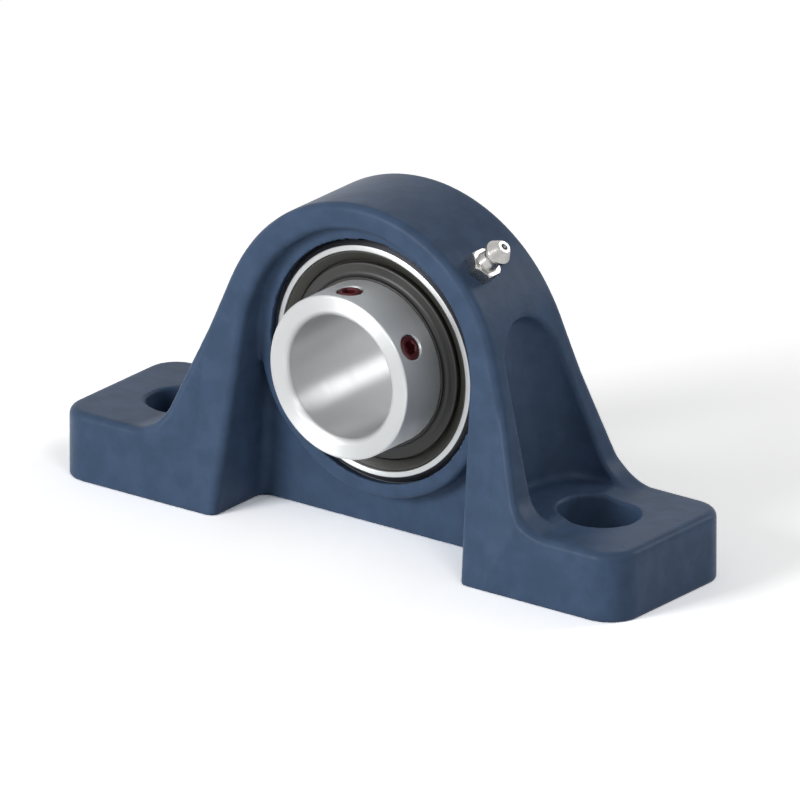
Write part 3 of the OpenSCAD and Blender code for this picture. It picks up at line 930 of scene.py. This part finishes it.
def nippleField(x, y, z):
    # turned body with a hexagon below its neck, bored through; z runs out along its axis
    look = nippleLook
    radial = np.hypot(x, y)
    body = outlineField(mirrored(nippleOutline), radial, z)
    inHex = (z > -look["margin"]) & (z < look["hexHeight"] + look["margin"])
    body = np.where(inHex, np.maximum(body, hexField(x, y, look["hexagon"])), body)
    shank = threadField(x, y, z, look["shankRadius"], look["threadPitch"], look["threadDepth"])
    body = np.where(z < look["threadTop"], np.maximum(body, shank), body)
    hole = outlineField(mirrored(nippleBore), radial, z)
    return roundCut(body, -hole, look["boreEdge"])


print("nipple")
nippleAcross = np.array([nippleAxis[2], 0, -nippleAxis[0]])
nippleSeatPoint = bearingCentre + (0, nippleY, 0) + nippleAxis * nippleSeat
nipple = netPiece(
    "nipple_turned", nippleField, nippleLook["low"], nippleLook["high"], nippleLook["step"],
    origin=nippleSeatPoint, axes=(nippleAcross, (0, 1, 0), nippleAxis))
dress(nipple, "nipple_body", "housing", zincPlate)
checkLow, checkHigh = nodeBox("nipple_ball")
checkRadius = (checkHigh - checkLow)[1] / 2
checkBall = ballPiece(
    "nipple_ball_lapped", (checkLow + checkHigh) / 2, checkRadius, nippleLook["checkBallNet"])
dress(checkBall, "nipple_ball", "nipple_ball", ballSteel)
spring = frame["nodes"]["nipple_spring"]
spring.data.materials.clear()
spring.data.materials.append(ballSteel)


# Floor, light and camera

print("stage")
stageLook = {
    "floorSize": 1.5,
    "floorColour": "#F2F2F2",
    "lift": 1.95,
    "fadeFrom": 0.11,    # metres from the object's middle between which the seen floor turns white
    "fadeTo": 0.42,
    "worldStrength": 0.24,
}
lamps = {
    "keyLamp": {"place": (-0.4, -1.1, 0.42), "size": 0.5, "power": 10},
    "backLamp": {"place": (0.58, 0.95, 0.64), "size": 0.5, "power": 3.5},
    "sideLamp": {"place": (0.85, -0.6, 0.8), "size": 0.35, "power": 1.8},
}
lampAim = (0, 0, 0.03)


def directRays(tree):
    # 1 for what the camera sees and what a glossy surface mirrors, 0 for what lights the object
    paths = addNode(tree, "ShaderNodeLightPath")
    either = addNode(tree, "ShaderNodeMath", {
        0: paths.outputs["Is Camera Ray"], 1: paths.outputs["Is Glossy Ray"]}, operation="MAXIMUM")
    return either.outputs[0]


def makeFloor():
    # plain pale floor; camera and glossy rays see it lifted in proportion near the object, so that
    # it keeps the shadows, and plain white further out
    size = stageLook["floorSize"]
    mesh = bpy.data.meshes.new("floor")
    corners = [(-size, -size, 0), (size, -size, 0), (size, size, 0), (-size, size, 0)]
    mesh.from_pydata(corners, [], [(0, 1, 2, 3)])
    floor = bpy.data.objects.new("floor", mesh)
    bpy.context.scene.collection.objects.link(floor)
    material, tree, output = newMaterial("paleFloor")
    lift = stageLook["lift"]
    plain = addNode(tree, "ShaderNodeBsdfDiffuse", {"Color": fromHex(stageLook["floorColour"])})
    lifted = addNode(tree, "ShaderNodeBsdfDiffuse", {"Color": (lift, lift, lift, 1)})
    place = addNode(tree, "ShaderNodeTexCoord").outputs["Object"]
    away = addNode(tree, "ShaderNodeVectorMath", {0: place}, operation="LENGTH")
    fade = addNode(tree, "ShaderNodeMapRange", {
        "Value": away.outputs["Value"],
        "From Min": stageLook["fadeFrom"],
        "From Max": stageLook["fadeTo"],
    }, interpolation_type="SMOOTHSTEP")
    white = addNode(tree, "ShaderNodeEmission", {"Color": (1, 1, 1, 1), "Strength": 1.0})
    pale = addNode(tree, "ShaderNodeMixShader", {
        0: fade.outputs["Result"], 1: lifted.outputs[0], 2: white.outputs[0]})
    shader = addNode(tree, "ShaderNodeMixShader", {
        0: directRays(tree), 1: plain.outputs[0], 2: pale.outputs[0]})
    tree.links.new(shader.outputs[0], output.inputs["Surface"])
    mesh.materials.append(material)


def addLamp(name, place, aim, size, power):
    # square soft lamp at a place, turned towards a point; places and size in metres
    data = bpy.data.lights.new(name, "AREA")
    data.shape = "SQUARE"
    data.size = size
    data.energy = power
    lamp = bpy.data.objects.new(name, data)
    bpy.context.scene.collection.objects.link(lamp)
    lamp.location = place
    lamp.rotation_euler = (Vector(aim) - Vector(place)).to_track_quat("-Z", "Y").to_euler()


makeFloor()
for name, lamp in lamps.items():
    addLamp(name, lamp["place"], lampAim, lamp["size"], lamp["power"])

world = bpy.data.worlds.new("softStudio")
bpy.context.scene.world = world
world.use_nodes = True
worldTree = world.node_tree
worldTree.nodes.clear()
dim = addNode(worldTree, "ShaderNodeBackground", {
    "Color": (1, 1, 1, 1), "Strength": stageLook["worldStrength"]})
white = addNode(worldTree, "ShaderNodeBackground", {"Color": (1, 1, 1, 1), "Strength": 1.0})
either = addNode(worldTree, "ShaderNodeMixShader", {
    0: directRays(worldTree), 1: dim.outputs[0], 2: white.outputs[0]})
addNode(worldTree, "ShaderNodeOutputWorld", {"Surface": either.outputs[0]})

view = {
    "azimuth": 37.22,
    "elevation": 20.85,
    "distance": 8.0,      # metres: far off with a long lens, so there is hardly any perspective
    "lens": 1538.8,
    "sensor": 36.0,
    "reach": 30.0,
    "target": (2.43, -1.4, 31.67),
}
azimuth = math.radians(view["azimuth"])
elevation = math.radians(view["elevation"])
target = Vector(view["target"]) * mm
back = Vector((
    math.sin(azimuth) * math.cos(elevation),
    -math.cos(azimuth) * math.cos(elevation),
    math.sin(elevation),
))
cameraData = bpy.data.cameras.new("camera")
cameraData.lens = view["lens"]
cameraData.sensor_width = view["sensor"]
cameraData.clip_end = view["reach"]
camera = bpy.data.objects.new("camera", cameraData)
bpy.context.scene.collection.objects.link(camera)
camera.location = target + back * view["distance"]
camera.rotation_euler = (-back).to_track_quat("-Z", "Y").to_euler()
bpy.context.scene.camera = camera

bpy.context.scene.view_settings.view_transform = "Standard"

print("finished")
